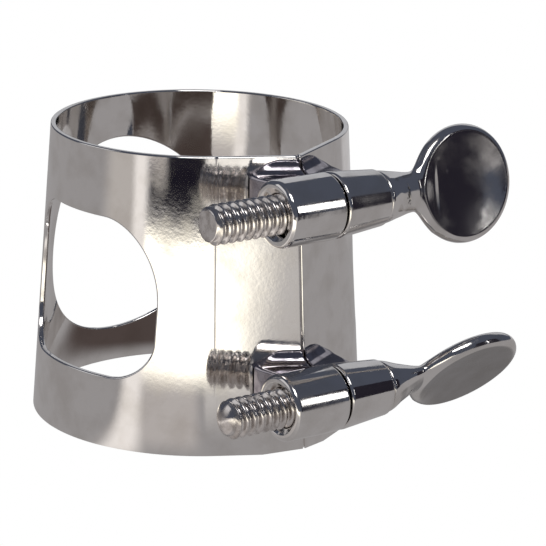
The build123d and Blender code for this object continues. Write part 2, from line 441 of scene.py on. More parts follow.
def grow(name: str, tree: Tree, values: dict[str, object],
         seed_mesh: bpy.types.Mesh | None = None) -> Piece:
    """Bakes a geometry node tree into a plain mesh object.

    Args:
        name: the piece's name.
        tree: the tree.
        values: a value for each named input.
        seed_mesh: the mesh that the tree starts from, where it takes one.

    Returns:
        The baked object.
    """
    start = bpy.data.objects.new(name + "_start", seed_mesh or bpy.data.meshes.new(name + "_start"))
    bpy.context.scene.collection.objects.link(start)
    modifier = start.modifiers.new("grow", "NODES")
    modifier.node_group = tree
    for item in tree.interface.items_tree:
        if item.in_out == "INPUT" and item.name in values:
            modifier[item.identifier] = values[item.name]
    start.update_tag()
    graph = bpy.context.evaluated_depsgraph_get()
    mesh = bpy.data.meshes.new_from_object(start.evaluated_get(graph))
    mesh.name = name
    bpy.data.objects.remove(start)
    piece = bpy.data.objects.new(name, mesh)
    bpy.context.scene.collection.objects.link(piece)
    return piece


def thread_tree() -> Tree:
    """Tree of a screw: a helical thread from its tip, then a plain spindle, closed at both ends."""
    recipe = GrowthRecipe("screw_thread", [
        ("Tip X", "Float"), ("Thread End X", "Float"), ("End X", "Float"), ("Pitch", "Float"),
        ("Crest Radius", "Float"), ("Root Radius", "Float"), ("Crest Share", "Float"),
        ("Root Share", "Float"), ("Spindle Radius", "Float"), ("Chamfer", "Float"),
        ("Dome", "Float"), ("Rows", "Int"), ("Columns", "Int"), ("Cap Rows", "Int"),
        ("Centre", "Vector"), ("Material", "Material")])
    given, calc = recipe.given, recipe.calc
    grid, row, turn = recipe.wrap(given["Rows"], given["Columns"])

    caps = given["Cap Rows"]
    last = calc("SUBTRACT", given["Rows"], 1.0)
    spaced = calc("SUBTRACT", last, calc("MULTIPLY", caps, 2.0))
    share = recipe.ramp(calc("DIVIDE", calc("SUBTRACT", row, caps), spaced), (0, 1))
    length = calc("SUBTRACT", given["End X"], given["Tip X"])
    from_tip = calc("MULTIPLY", share, length)
    along = calc("ADD", given["Tip X"], from_tip)

    phase = calc("FRACT", calc("SUBTRACT", calc("DIVIDE", along, given["Pitch"]), turn))
    from_crest = calc("ABSOLUTE", calc("SUBTRACT", calc("MULTIPLY", phase, 2.0), 1.0))
    ridge = recipe.ramp(from_crest, (given["Crest Share"], given["Root Share"]),
                        (given["Crest Radius"], given["Root Radius"]), smooth=True)
    bevel = calc("ADD", calc("SUBTRACT", given["Crest Radius"], given["Chamfer"]), from_tip)
    fade = calc("ADD", given["Spindle Radius"], calc("SUBTRACT", given["Thread End X"], along))
    threaded = calc("MAXIMUM", calc("MINIMUM", ridge, fade), given["Spindle Radius"])
    radius = recipe.add("GeometryNodeSwitch", {
        "Switch": calc("LESS_THAN", along, given["Thread End X"]),
        "False": given["Spindle Radius"], "True": calc("MINIMUM", threaded, bevel)},
        input_type="FLOAT").outputs[0]

    to_end = calc("MINIMUM", row, calc("SUBTRACT", last, row))
    cap = recipe.ramp(calc("DIVIDE", to_end, caps), (0, 1))
    inward = calc("SUBTRACT", 1.0, calc("MULTIPLY", cap, cap))
    bulge = calc("MULTIPLY", calc("MULTIPLY", inward, given["Dome"]), calc("LESS_THAN", row, caps))
    set_back = calc("MULTIPLY", given["Dome"], calc("SUBTRACT", 1.0, share))
    x = calc("SUBTRACT", calc("ADD", along, set_back), bulge)
    recipe.close(grid, x, calc("MULTIPLY", radius, cap), turn)
    return recipe.tree


def turning_tree() -> Tree:
    """Tree of a turned part: its closed outline carried round an axis along X."""
    recipe = GrowthRecipe("turned_part", [
        ("Outline", "Geometry"), ("Outline Points", "Int"), ("Columns", "Int"),
        ("Centre", "Vector"), ("Material", "Material")])
    given = recipe.given
    rows = recipe.calc("ADD", given["Outline Points"], 1.0)
    grid, row, turn = recipe.wrap(rows, given["Columns"])
    outline = recipe.add("GeometryNodeSampleIndex", {
        "Geometry": given["Outline"], "Value": recipe.add("GeometryNodeInputPosition").outputs[0],
        "Index": recipe.calc("MODULO", row, given["Outline Points"])}, data_type="FLOAT_VECTOR")
    along = recipe.add("ShaderNodeSeparateXYZ", {0: outline.outputs[0]}).outputs
    recipe.close(grid, along[0], along[1], turn)
    return recipe.tree


def rounded(corners: Sequence[Triple], steps: int = 6, hold: float = 0.04 * MM) -> list[Pair]:
    """Rounds the corners of a closed outline.

    Args:
        corners: the place of each corner and its radius; 0 keeps it sharp.
        steps: points on each arc, less one.
        hold: length of straight kept by a point beside each arc, so that flats shade flat.

    Returns:
        The outline's points.
    """
    out = []
    for i, (x, y, radius) in enumerate(corners):
        here = Vector((x, y))
        if radius <= 0:
            out.append((x, y))
            continue
        back = (Vector(corners[i - 1][:2]) - here).normalized()
        ahead = (Vector(corners[(i + 1) % len(corners)][:2]) - here).normalized()
        half = back.angle(ahead) / 2
        centre = here + (back + ahead).normalized() * radius / math.sin(half)
        first = here + back * radius / math.tan(half) - centre
        last = here + ahead * radius / math.tan(half) - centre
        swept = math.atan2(first.x * last.y - first.y * last.x, first.dot(last))
        arc = [centre + Matrix.Rotation(swept * k / steps, 2) @ first for k in range(steps + 1)]
        out += [tuple(p) for p in (arc[0] + back * hold, *arc, arc[-1] + ahead * hold)]
    return out


# ---- the band -----------------------------------------------------------------------------


@dataclass
class Band:
    """Tapered sheet-metal band with a V front, a slit, two side windows and a round back window.

    A place on the sheet is (turn, z). The turn is an angle-like measure that grows from the
    slit past +X and the back to the slit again: along each straight panel it is a share of the
    panel, and round the wall it is the angle itself.

    Attributes:
        sheet: thickness of the metal.
        crease: angle from the slit to each crease, where a straight panel meets the round wall.
        corner_rise: how far the low corners are cut up at the slit.
        corner_length: how far from the slit those cuts start.
        side_front: front edge of the side windows, along Y.
        side_back: their back edge, along Y.
        side_sill: height of their lower edge.
        side_head: height of their upper edge.
        side_low_corner: radius of their lower corners.
        side_top_corner: width and height of the arc at each of their upper corners.
        back_radius: radius of the round back window.
        back_height: height of its middle.
        edge_round: rounding of every edge of the sheet.
        edge_steps: mesh steps in that rounding.
        spacing: distance between mesh points on the sheet.
        rim_spacing: distance between points on an outline, as a share of that.
        rim_clearance: least distance from an outline to the other points, as a share of it.
        crease_depth: depth of the fine line pressed in at each crease.
        crease_width: width of that line, and distance between its mesh columns.
        crease_columns: mesh columns on either side of that line.
        corner_points: points on each corner of a side window.
        back_points: points round the back window.
        height: height of the band.
        base_radius: outside radius at the wide rim.
        top_radius: outside radius at the narrow rim.
    """

    sheet: float = 0.5 * MM
    crease: float = math.radians(28)
    corner_rise: float = 0.45 * MM
    corner_length: float = 3.3 * MM
    side_front: float = -9.25 * MM
    side_back: float = 7.5 * MM
    side_sill: float = 6.3 * MM
    side_head: float = 20.3 * MM
    side_low_corner: float = 3.5 * MM
    side_top_corner: Pair = (4.9 * MM, 7.4 * MM)
    back_radius: float = 9.4 * MM
    back_height: float = 12.75 * MM
    edge_round: float = 0.16 * MM
    edge_steps: int = 4
    spacing: float = 0.42 * MM
    rim_spacing: float = 0.6
    rim_clearance: float = 0.55
    crease_depth: float = 0.014 * MM
    crease_width: float = 0.11 * MM
    crease_columns: int = 3
    corner_points: int = 24
    back_points: int = 120
    height: float = field(init=False)
    base_radius: float = field(init=False)
    top_radius: float = field(init=False)

    def __post_init__(self) -> None:
        """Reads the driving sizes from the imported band."""
        low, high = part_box("band")
        self.height = high.z
        self.base_radius = high.y
        top = [v.co.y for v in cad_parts["band"].data.vertices if v.co.z > high.z - 0.01 * MM]
        self.top_radius = max(top)

    @property
    def panel(self) -> float:
        """Turn taken up by one straight panel."""
        return math.tan(self.crease)

    @property
    def half(self) -> float:
        """Turn at the back of the band."""
        return self.panel + math.pi - self.crease

    def radius(self, z: np.ndarray | float) -> np.ndarray | float:
        """Outside radius of the round wall at height z."""
        return self.base_radius + (self.top_radius - self.base_radius) * z / self.height

    def front_edge(self, z: float) -> float:
        """Distance from the axis to the outside corner of the V at height z."""
        return self.radius(z) / math.cos(self.crease)

    def turn_at(self, angle: float) -> float:
        """Turn at an angle from the slit, round the wall."""
        return self.panel + angle - self.crease

    def turn_on_panel(self, x: float, z: float) -> float:
        """Turn at a distance x from the slit plane, on the right-hand panel's outside."""
        full = self.radius(z) * math.sin(self.crease) - SLIT / 2
        return self.panel * (x - SLIT / 2) / full

    def place(self, turn: np.ndarray, z: np.ndarray, depth: np.ndarray) -> np.ndarray:
        """Points on the sheet.

        Args:
            turn: the way round.
            z: the height.
            depth: how far in from the outside face.

        Returns:
            The places, one row each.
        """
        left = turn > self.half
        t = np.where(left, 2 * self.half - turn, turn)
        from_crease = (t - self.panel) * self.mean_radius / self.crease_width
        radius = self.radius(z) - depth - self.crease_depth * np.exp(-from_crease ** 2)
        crease_x = radius * math.sin(self.crease)
        on_panel_x = SLIT / 2 + t / self.panel * (crease_x - SLIT / 2)
        on_panel_y = -radius / math.cos(self.crease) + on_panel_x * math.tan(self.crease)
        angle = t - self.panel + self.crease
        flat = t < self.panel
        x = np.where(flat, on_panel_x, radius * np.sin(angle))
        y = np.where(flat, on_panel_y, -radius * np.cos(angle))
        return np.stack([np.where(left, -x, x), y, z + 0 * t], -1)

    def surface_normal(self, turn: np.ndarray, z: np.ndarray, depth: np.ndarray) -> np.ndarray:
        """Outward normals of the sheet's outside, offset by a depth."""
        step = 1e-5
        across = self.place(turn + step, z, depth) - self.place(turn - step, z, depth)
        up = self.place(turn, z + step * MM, depth) - self.place(turn, z - step * MM, depth)
        normal = np.cross(across, up)
        return normal / np.linalg.norm(normal, axis=1)[:, None]

    def side_outline(self) -> list[Pair]:
        """Outline of the +X side window as (turn, z), clockwise seen from outside."""
        across, up = self.side_top_corner
        front, back, sill, head = self.side_front, self.side_back, self.side_sill, self.side_head
        corner = self.side_low_corner
        arcs = [(front + across, head - up, across, up, 180, 90),
                (back - across, head - up, across, up, 90, 0),
                (back - corner, sill + corner, corner, corner, 0, -90),
                (front + corner, sill + corner, corner, corner, -90, -180)]
        out = []
        for y0, z0, a, b, start, end in arcs:
            for degrees in np.linspace(start, end, self.corner_points):
                y = y0 + a * math.cos(math.radians(degrees))
                z = z0 + b * math.sin(math.radians(degrees))
                out.append((self.turn_at(math.acos(-y / self.radius(z))), z))
        return out

    def back_outline(self) -> list[Pair]:
        """Outline of the round back window as (turn, z), clockwise seen from outside."""
        out = []
        for angle in np.linspace(0, -math.tau, self.back_points, endpoint=False):
            x = self.back_radius * math.cos(angle)
            z = self.back_height + self.back_radius * math.sin(angle)
            out.append((self.half + math.asin(x / self.radius(z)), z))
        return out

    def outer_outline(self) -> list[Pair]:
        """Outline of the whole sheet as (turn, z), counter-clockwise seen from outside."""
        clip = self.turn_on_panel(self.corner_length, 0)
        end = 2 * self.half
        return [(0, self.corner_rise), (clip, 0), (end - clip, 0), (end, self.corner_rise),
                (end, self.height), (0, self.height)]

    def loops(self) -> Iterator[np.ndarray]:
        """Evenly spaced outlines in metric (turn times mean radius, z), metal on their left."""
        right = self.side_outline()
        left = [(2 * self.half - turn, z) for turn, z in reversed(right)]
        mean = self.mean_radius
        for outline in (self.outer_outline(), right, left, self.back_outline()):
            corners = np.array(outline) * (mean, 1)
            out = []
            for here, after in zip(corners, np.roll(corners, -1, axis=0)):
                parts = max(1, round(np.linalg.norm(after - here) / (self.rim_spacing * self.spacing)))
                out += [here + (after - here) * k / parts for k in range(parts)]
            yield np.array(out)

    @property
    def mean_radius(self) -> float:
        """Radius that turns the turn into a length."""
        return (self.base_radius + self.top_radius) / 2

    @staticmethod
    def left_normals(loop: np.ndarray) -> np.ndarray:
        """Mitred normals that point to the left of a closed loop."""
        ahead = np.roll(loop, -1, axis=0) - loop
        ahead /= np.linalg.norm(ahead, axis=1)[:, None]
        sides = np.stack([-ahead[:, 1], ahead[:, 0]], -1)
        total = sides + np.roll(sides, 1, axis=0)
        return total / np.maximum((total * sides).sum(1), 0.5)[:, None]

    @staticmethod
    def is_inside(points: np.ndarray, loops: Sequence[np.ndarray]) -> np.ndarray:
        """Which points lie inside an odd number of loops."""
        inside = np.zeros(len(points), bool)
        for loop in loops:
            for (x0, y0), (x1, y1) in zip(loop, np.roll(loop, -1, axis=0)):
                if y0 != y1:
                    spans = (points[:, 1] < y0) != (points[:, 1] < y1)
                    cut = x0 + (points[:, 1] - y0) * (x1 - x0) / (y1 - y0)
                    inside ^= spans & (points[:, 0] < cut)
        return inside

    def fill(self, rims: Sequence[np.ndarray]) -> np.ndarray:
        """Points between the outlines: an even pattern, with fine columns along each crease."""
        cols = np.arange(0, 2 * self.half * self.mean_radius, self.spacing)
        rows = np.arange(0, self.height, self.spacing)
        even = np.array([(c + (k % 2) * self.spacing / 2, r) for k, r in enumerate(rows) for c in cols])
        creases = np.array([self.panel, 2 * self.half - self.panel]) * self.mean_radius
        away = np.abs(even[:, :1] - creases).min(1)
        beside = range(-self.crease_columns, self.crease_columns + 1)
        fine = [(c + k * self.crease_width, r) for c in creases for k in beside for r in rows]
        even = even[away > (self.crease_columns + 1) * self.crease_width]
        points = np.concatenate([even, fine])
        points = points[self.is_inside(points, rims)]
        nearest = np.min([np.linalg.norm(points - b, axis=1) for b in np.concatenate(rims)], axis=0)
        return points[nearest > self.rim_clearance * self.spacing]

    def triangles(self, flat: np.ndarray, rims: Sequence[np.ndarray]) -> np.ndarray:
        """Triangles between the outlines, whose points come first."""
        edges, first = [], 0
        for rim in rims:
            edges += [(first + i, first + (i + 1) % len(rim)) for i in range(len(rim))]
            first += len(rim)
        cut = delaunay_2d_cdt([Vector(p) / MM for p in flat], edges, [], 0, 1e-6)
        if len(cut[0]) != len(flat):
            raise ValueError("the sheet's outlines cross each other")
        order = [source[0] for source in cut[3]]
        triangles = np.array([[order[i] for i in face] for face in cut[2]])
        return triangles[self.is_inside(flat[triangles].mean(1), rims)]

    def build(self) -> Piece:
        """Makes the band's mesh."""
        loops = list(self.loops())
        sides = [self.left_normals(loop) for loop in loops]
        rims = [loop + self.edge_round * side for loop, side in zip(loops, sides)]
        flat = np.concatenate([*rims, self.fill(rims)])
        triangles = self.triangles(flat, rims)
        points, normals = [], []

        def layer(at: np.ndarray, depth: float, outward: float, tilt: np.ndarray | None = None) -> int:
            """Adds a layer of points.

            Args:
                at: their places on the flat sheet.
                depth: how far in from the outside face they lie.
                outward: share of their normals that points out of the outside face.
                tilt: way on the flat sheet that the rest of their normals points.

            Returns:
                The number of the layer's first point.
            """
            start = sum(len(p) for p in points)
            mean = self.mean_radius
            turn, z = at[:, 0] / mean, at[:, 1]
            deep = np.full(len(at), depth)
            points.append(self.place(turn, z, deep))
            normal = self.surface_normal(turn, z, deep) * outward
            if tilt is not None:
                step = 1e-3 * MM
                moved = self.place((at[:, 0] + tilt[:, 0] * step) / mean, z + tilt[:, 1] * step, deep)
                side = moved - points[-1]
                rest = math.sqrt(max(0.0, 1 - outward ** 2))
                normal += side / np.linalg.norm(side, axis=1)[:, None] * rest
            normals.append(normal / np.linalg.norm(normal, axis=1)[:, None])
            return start

        outside = layer(flat, 0.0, 1)
        inside = layer(flat, self.sheet, -1)
        faces = (triangles + outside).tolist() + (triangles[:, ::-1] + inside).tolist()

        bends = [math.pi / 2 * k / self.edge_steps for k in range(1, self.edge_steps)]
        r = self.edge_round
        first = 0
        for loop, side in zip(loops, sides):
            count = len(loop)
            rings = [outside + first]
            rings += [layer(loop + side * r * (1 - math.sin(a)), r * (1 - math.cos(a)),
                            math.cos(a), -side) for a in bends]
            rings.append(layer(loop, r, 0, -side))
            rings.append(layer(loop, self.sheet - r, 0, -side))
            rings += [layer(loop + side * r * (1 - math.cos(a)), self.sheet - r + r * math.sin(a),
                            -math.sin(a), -side) for a in bends]
            rings.append(inside + first)
            for upper, lower in zip(rings, rings[1:]):
                faces += [(upper + (i + 1) % count, upper + i, lower + i, lower + (i + 1) % count)
                          for i in range(count)]
            first += count
        return make_piece("Band", np.concatenate(points), faces, np.concatenate(normals))


# ---- posts, saddles, screws and heads -----------------------------------------------------


@dataclass
class Row:
    """Where the parts of one screw stand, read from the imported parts.

    Attributes:
        level: which of the two screws it is.
        dome: height of the screw's domed tip.
        lean: degrees that the thumb disc is turned about the screw, from standing upright.
        centre: the screw's axis at the slit.
        threaded_x: outer end of the threaded post.
        plain_x: outer end of the plain post.
        shoulder_x: inner end of the thumb head.
        screw_ends: both ends of the shank.
    """

    level: str
    dome: float
    lean: float
    centre: Vector = field(init=False)
    threaded_x: float = field(init=False)
    plain_x: float = field(init=False)
    shoulder_x: float = field(init=False)
    screw_ends: Pair = field(init=False)

    def __post_init__(self) -> None:
        """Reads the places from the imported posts, shank and head."""
        low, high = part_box(f"{self.level}_threaded_post")
        self.threaded_x = low.x
        self.centre = Vector((0, (low.y + high.y) / 2, (low.z + high.z) / 2))
        self.plain_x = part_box(f"{self.level}_plain_post")[1].x
        self.shoulder_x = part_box(f"{self.level}_thumb_head")[0].x
        self.screw_ends = tuple(end.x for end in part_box(self.node("screw_shank")))

    def node(self, part: str) -> str:
        """CAD node or body of one of the row's parts."""
        return f"{self.level}_{part}"

    def piece_name(self, part: str) -> str:
        """Name of a visible piece."""
        return f"{self.level.capitalize()}{part}"


@dataclass(frozen=True)
class Posts:
    """The two turned barrels that hold a screw: a threaded one, and a tapering plain one.

    Attributes:
        tree: the tree that turns them.
        material: their finish.
        slit_round: rounding of their edges at the slit.
        end_round: rounding of the threaded post's outer end.
        bore: radius of the threaded post's bore.
        bore_round: rounding of a bore's edge.
        mouth: width and depth of the countersunk mouth.
        mouth_round: rounding of the foot of that mouth.
        plain_end_radius: radius of the plain post's outer end.
        plain_end_round: rounding of that end.
        plain_bore: radius of the plain post's bore.
        plain_mouth_round: rounding of that bore's outer edge.
        columns: mesh columns round a post.
    """

    tree: Tree
    material: Material
    slit_round: float = 0.24 * MM
    end_round: float = 0.45 * MM
    bore: float = 1.78 * MM
    bore_round: float = 0.06 * MM
    mouth: float = 0.5 * MM
    mouth_round: float = 0.1 * MM
    plain_end_radius: float = 2.45 * MM
    plain_end_round: float = 0.2 * MM
    plain_bore: float = 1.84 * MM
    plain_mouth_round: float = 0.08 * MM
    columns: int = 161

    def turned(self, row: Row, part: str, outline: Sequence[Triple]) -> Piece:
        """Turns an outline of (x, radius, corner radius) about the screw's axis."""
        name = row.piece_name(part)
        points = rounded(outline)
        mesh = bpy.data.meshes.new(name + "_outline")
        mesh.from_pydata([(x, y, 0) for x, y in points], [], [])
        return grow(name, self.tree, {"Outline Points": len(points), "Columns": self.columns,
                                      "Centre": row.centre, "Material": self.material}, mesh)

    def threaded(self, row: Row) -> Piece:
        """Makes the post that the screw threads into, with a countersunk mouth."""
        inner, outer, wide = -SLIT / 2, row.threaded_x, self.bore + self.mouth
        return self.turned(row, "ThreadedPost", [
            (inner, self.bore, self.bore_round), (outer + self.mouth, self.bore, self.mouth_round),
            (outer, wide, self.bore_round), (outer, POST_RADIUS, self.end_round),
            (inner, POST_RADIUS, self.slit_round)])

    def plain(self, row: Row) -> Piece:
        """Makes the tapering post that the screw passes through."""
        inner, outer = SLIT / 2, row.plain_x
        return self.turned(row, "PlainPost", [
            (inner, POST_RADIUS, self.slit_round), (outer, self.plain_end_radius, self.plain_end_round),
            (outer, self.plain_bore, self.plain_mouth_round), (inner, self.plain_bore, self.bore_round)])


@dataclass(frozen=True)
class Saddle:
    """Waisted block brazed between one panel of the band and its post.

    Attributes:
        length: from the slit to its outer end, at the band.
        draft: how much shorter it is at the post's axis.
        foot: half its height at the band, beside the slit.
        end_foot: half its height at the band, at its outer end.
        shoulder: distance from the slit at which its height starts to fall.
        waist: half its height under the post.
        soft: rounding of its edges.
        slit_soft: rounding of its edges at the slit.
        taper_scale: what makes the falling height's field close to a distance.
        into_band: how far it reaches into the band's sheet.
        into_post: how far it reaches into the post.
        cell: size of its mesh's quads.
    """

    length: float = 3.95 * MM
    draft: float = 0.5 * MM
    foot: float = 3.1 * MM
    end_foot: float = 2.0 * MM
    shoulder: float = 2.0 * MM
    waist: float = 1.95 * MM
    soft: float = 0.3 * MM
    slit_soft: float = 0.1 * MM
    taper_scale: float = 0.85
    into_band: float = 0.25 * MM
    into_post: float = 0.45 * MM
    cell: float = 0.11 * MM

    def build(self, row: Row, band: Band, side: int) -> Piece:
        """Makes the saddle.

        Args:
            row: the screw that it belongs to.
            band: the band.
            side: -1 under the threaded post, 1 under the plain one.

        Returns:
            The saddle.
        """
        axis_y, z0 = row.centre.y, row.centre.z
        lean = Vector((side * math.sin(band.crease), -math.cos(band.crease)))
        front = -band.front_edge(z0)
        flare = self.foot - self.waist
        slope = (self.foot - self.end_foot) / (self.length - self.shoulder)

        def shape(p: np.ndarray) -> np.ndarray:
            """Field of the saddle."""
            x, y, z = p[:, 0], p[:, 1], p[:, 2]
            across = np.abs(z - z0)
            rise = np.clip((x * lean.x + (y - front) * lean.y) / flare, 0, 1)
            half_height = self.waist + flare * (1 - np.sqrt(1 - (1 - rise) ** 2))
            from_slit = side * x
            end_limit = self.foot - slope * (from_slit - self.shoulder)
            reach = self.length - self.draft * (y - front) / (axis_y - front)
            solid = meet(across - half_height, (across - end_limit) * self.taper_scale, self.soft)
            solid = meet(solid, from_slit - reach, self.soft)
            solid = meet(solid, SLIT / 2 - from_slit, self.slit_soft)
            wall = (band.radius(z) - self.into_band) / math.cos(band.crease)
            panel = (y + wall) * -lean.y - np.abs(x) * abs(lean.x)
            post = np.hypot(y - axis_y, z - z0) - (POST_RADIUS - self.into_post)
            return np.maximum(np.maximum(solid, panel), -post)

        behind = -band.radius(z0) * math.cos(band.crease) + MM
        low = Vector((min(side * self.length, 0), axis_y, z0 - self.foot))
        high = Vector((max(side * self.length, 0), behind, z0 + self.foot))
        points, faces, normals = contour(shape, low, high, self.cell)
        part = "ThreadedSaddle" if side < 0 else "PlainSaddle"
        return make_piece(row.piece_name(part), points, faces, normals)


@dataclass(frozen=True)
class Shank:
    """Rod with a helical thread and a plain spindle that ends in the head's socket.

    Attributes:
        tree: the tree that grows it.
        material: its finish.
        crest: radius of the thread's crests.
        root: radius of its roots.
        crest_share: share of the way from crest to root that is flat at the crest.
        root_share: share of that way at which the root's flat starts.
        pitch: distance from crest to crest.
        spindle: radius of the plain spindle.
        thread_start: distance from the slit to the thread's end, inside the threaded post.
        chamfer: height of the bevel at its tip.
        rows_per_turn: mesh rows in one turn of the thread.
        columns: mesh columns round it.
        cap_rows: mesh rows that close each end.
    """

    tree: Tree
    material: Material
    crest: float = 1.72 * MM
    root: float = 1.32 * MM
    crest_share: float = 0.06
    root_share: float = 0.88
    pitch: float = 0.8 * MM
    spindle: float = 1.3 * MM
    thread_start: float = 0.5 * MM
    chamfer: float = 0.35 * MM
    rows_per_turn: int = 18
    columns: int = 65
    cap_rows: int = 6

    def build(self, row: Row) -> Piece:
        """Makes the shank, from its tip into the head's socket."""
        tip, end = row.screw_ends
        return grow(row.piece_name("ScrewShank"), self.tree, {
            "Tip X": tip, "Thread End X": -self.thread_start, "End X": end, "Pitch": self.pitch,
            "Crest Radius": self.crest, "Root Radius": self.root, "Crest Share": self.crest_share,
            "Root Share": self.root_share, "Spindle Radius": self.spindle,
            "Chamfer": self.chamfer, "Dome": row.dome,
            "Rows": round((end - tip) / self.pitch * self.rows_per_turn), "Columns": self.columns,
            "Cap Rows": self.cap_rows, "Centre": row.centre, "Material": self.material})


@dataclass(frozen=True)
class Head:
    """Thumb head: shoulder, flattened neck, and a disc dished on both faces.

    Attributes:
        shoulder_radius: radius of its shoulder.
        shoulder_round: rounding of the shoulder's edge.
        neck_length: length of the tapering neck.
        neck_width: half the neck's width at the disc.
        neck_thickness: half its thickness there.
        tang_length: how far the neck runs on over the disc, thinning out.
        tang_thickness: half its thickness at that end.
        tang_round: rounding of that end.
        disc_radius: radius of the disc.
        disc_reach: distance from the shoulder to the disc's middle.
        rim: thickness of the disc at its rim.
        rim_bulge: how far the rim's edge bulges.
        rim_round: rounding of the rim's edges.
        web: thickness of the disc at its middle.
        fillet: fillet between the neck and the disc.
        socket_depth: depth of the socket for the shank.
        socket_radius: radius of that socket.
        cell: size of its mesh's quads.
    """

    shoulder_radius: float = 2.3 * MM
    shoulder_round: float = 0.25 * MM
    neck_length: float = 3.65 * MM
    neck_width: float = 1.75 * MM
    neck_thickness: float = 0.95 * MM
    tang_length: float = 1.6 * MM
    tang_thickness: float = 0.3 * MM
    tang_round: float = 0.4 * MM
    disc_radius: float = 5.2 * MM
    disc_reach: float = 9.35 * MM
    rim: float = 1.5 * MM
    rim_bulge: float = 0.4 * MM
    rim_round: float = 0.35 * MM
    web: float = 0.8 * MM
    fillet: float = 0.7 * MM
    socket_depth: float = 2.6 * MM
    socket_radius: float = 1.33 * MM
    cell: float = 0.14 * MM

    def shape(self, p: np.ndarray) -> np.ndarray:
        """Field of the head with its disc upright, from the shoulder along X."""
        x, y, z = p[:, 0], p[:, 1], p[:, 2]
        full = self.shoulder_radius
        tang_end = self.disc_reach - self.disc_radius + self.tang_length
        stations = np.array([-MM, 0, self.neck_length / 2, self.neck_length, tang_end])
        width = smooth_steps(x, stations, np.array([
            full, full, (full + self.neck_width) / 2, self.neck_width, self.neck_width]))
        thick = smooth_steps(x, stations, np.array([
            full, full, (full + self.neck_thickness) / 2, self.neck_thickness, self.tang_thickness]))
        neck = (np.sqrt((z / width) ** 2 + (y / thick) ** 2) - 1) * np.minimum(width, thick)
        neck = meet(neck, x - tang_end, self.tang_round)
        rho = np.hypot(x - self.disc_reach, z)
        face = self.disc_radius - self.rim_bulge
        dish = self.web / 2 + (self.rim - self.web) / 2 * (rho / face) ** 2
        edge = rho - self.disc_radius + self.rim_bulge * (2 * y / self.rim) ** 2
        disc = meet(np.abs(y) - dish, edge, self.rim_round)
        whole = meet(join(neck, disc, self.fillet), -x, self.shoulder_round)
        socket = np.maximum(np.hypot(y, z) - self.socket_radius, x - self.socket_depth)
        return np.maximum(whole, -socket)

    def build(self, row: Row) -> Piece:
        """Makes the head, leaning as its row says."""
        low = (0, -self.shoulder_radius, -self.disc_radius)
        high = (self.disc_reach + self.disc_radius, self.shoulder_radius, self.disc_radius)
        points, faces, normals = contour(self.shape, low, high, self.cell)
        spin = np.array(Matrix.Rotation(math.radians(row.lean), 3, "X"))
        offset = np.array((row.shoulder_x, row.centre.y, row.centre.z))
        return make_piece(row.piece_name("ThumbHead"), points @ spin.T + offset, faces,
                          normals @ spin.T)


# ---- stage --------------------------------------------------------------------------------


@dataclass(frozen=True)
class Card:
    """A glowing or dark card that shows only in reflections.

    Attributes:
        name: the card's name.
        centre: its middle.
        size: its width and height.
        glow: how brightly it glows.
        faces: the point that it faces.
    """

    name: str
    centre: Triple
    size: Pair
    glow: Triple
    faces: Triple = (0, 0, 0.013)


@dataclass(frozen=True)
class LightAndShadePatch:
    """A patch of painted light and shade on the table's reflected copy, as the plating reflects it: a
    lighter one is a painted pool of light, a darker one painted shadow.

    Attributes:
        azimuths: degrees where it starts and ends round its origin, from -Y towards +X.
        reaches: distances from its origin where it starts and ends.
        soft: width of its soft edges, in degrees and in metres.
        glow: how brightly it glows.
        origin: the point of the table that it spreads from.
    """

    azimuths: Pair
    reaches: Pair
    soft: Pair
    glow: Triple
    origin: Pair = (0, 0)


DARK = (0.018, 0.016, 0.024)
# Painted shade on the table's reflected copy, far off to the front left.
PAINTED_SHADE = (0.008, 0.007, 0.014)
CARDS = (
    Card("KeyCard", (0.1486, -0.2183, 0.095), (0.022, 0.074), (4.6, 4.6, 4.6), (-0.003, -0.022, 0.023)),
    Card("BlackCard", (0.125, -0.12, 0.045), (0.092, 0.10), DARK, (0.125, 0, 0.045)),
    Card("DarkCard", (0.045, -0.12, 0.035), (0.042, 0.08), DARK, (0.045, 0, 0.035)),
    Card("BackCard", (0.30, 0.33, 0.20), (0.50, 0.30), (0.50, 0.51, 0.54)),
    Card("LeftCard", (-0.40, 0.25, 0.22), (0.30, 0.30), (0.70, 0.70, 0.72)),
    Card("TopCard", (-0.10, -0.05, 0.50), (0.20, 0.20), (0.12, 0.12, 0.14)),
)
# Painted light and shade on the table's reflected copy, as the plating reflects it: painted shade inside
# the band, a painted shadow under the screws, painted shade far off to the front left, and painted pools
# of light elsewhere.
FLOOR_LIGHT_AND_SHADE = (
    LightAndShadePatch((-200, 200), (-0.02, 0.0125), (8, 0.003), (0.085, 0.066, 0.062)),
    LightAndShadePatch((38, 62), (0.014, 0.033), (8, 0.006), (0.18, 0.175, 0.18)),
    LightAndShadePatch((100, 130), (0.08, 0.3), (8, 0.03), (0.55, 0.54, 0.55)),
    LightAndShadePatch((-76, -34), (0.018, 0.055), (8, 0.01), (0.53, 0.50, 0.49)),
    LightAndShadePatch((-30, -14), (0.03, 0.5), (3, 0.02), (0.58, 0.56, 0.55)),
    LightAndShadePatch((-30, -18), (0.19, 0.5), (3, 0.02), (1.15, 1.12, 1.06)),
    LightAndShadePatch((-74, -20), (0.050, 0.144), (5, 0.022), (2.1, 2.02, 1.76)),
    LightAndShadePatch((-104, -78), (0.10, 2.0), (14, 0.03), (0.54, 0.51, 0.49)),
    LightAndShadePatch((-70, -30), (0.165, 0.215), (6, 0.024), PAINTED_SHADE),
    LightAndShadePatch((-57, -30), (0.20, 2.0), (5, 0.02), PAINTED_SHADE),
    LightAndShadePatch((-84, -59), (0.208, 2.0), (6, 0.016), (0.70, 0.66, 0.64)),
    LightAndShadePatch((-83, -74), (0.02, 0.4), (6, 0.01), (1.0, 0.96, 0.93), (0.009, -0.0025)),
)
SQUARE = ((-1, -1), (1, -1), (1, 1), (-1, 1))


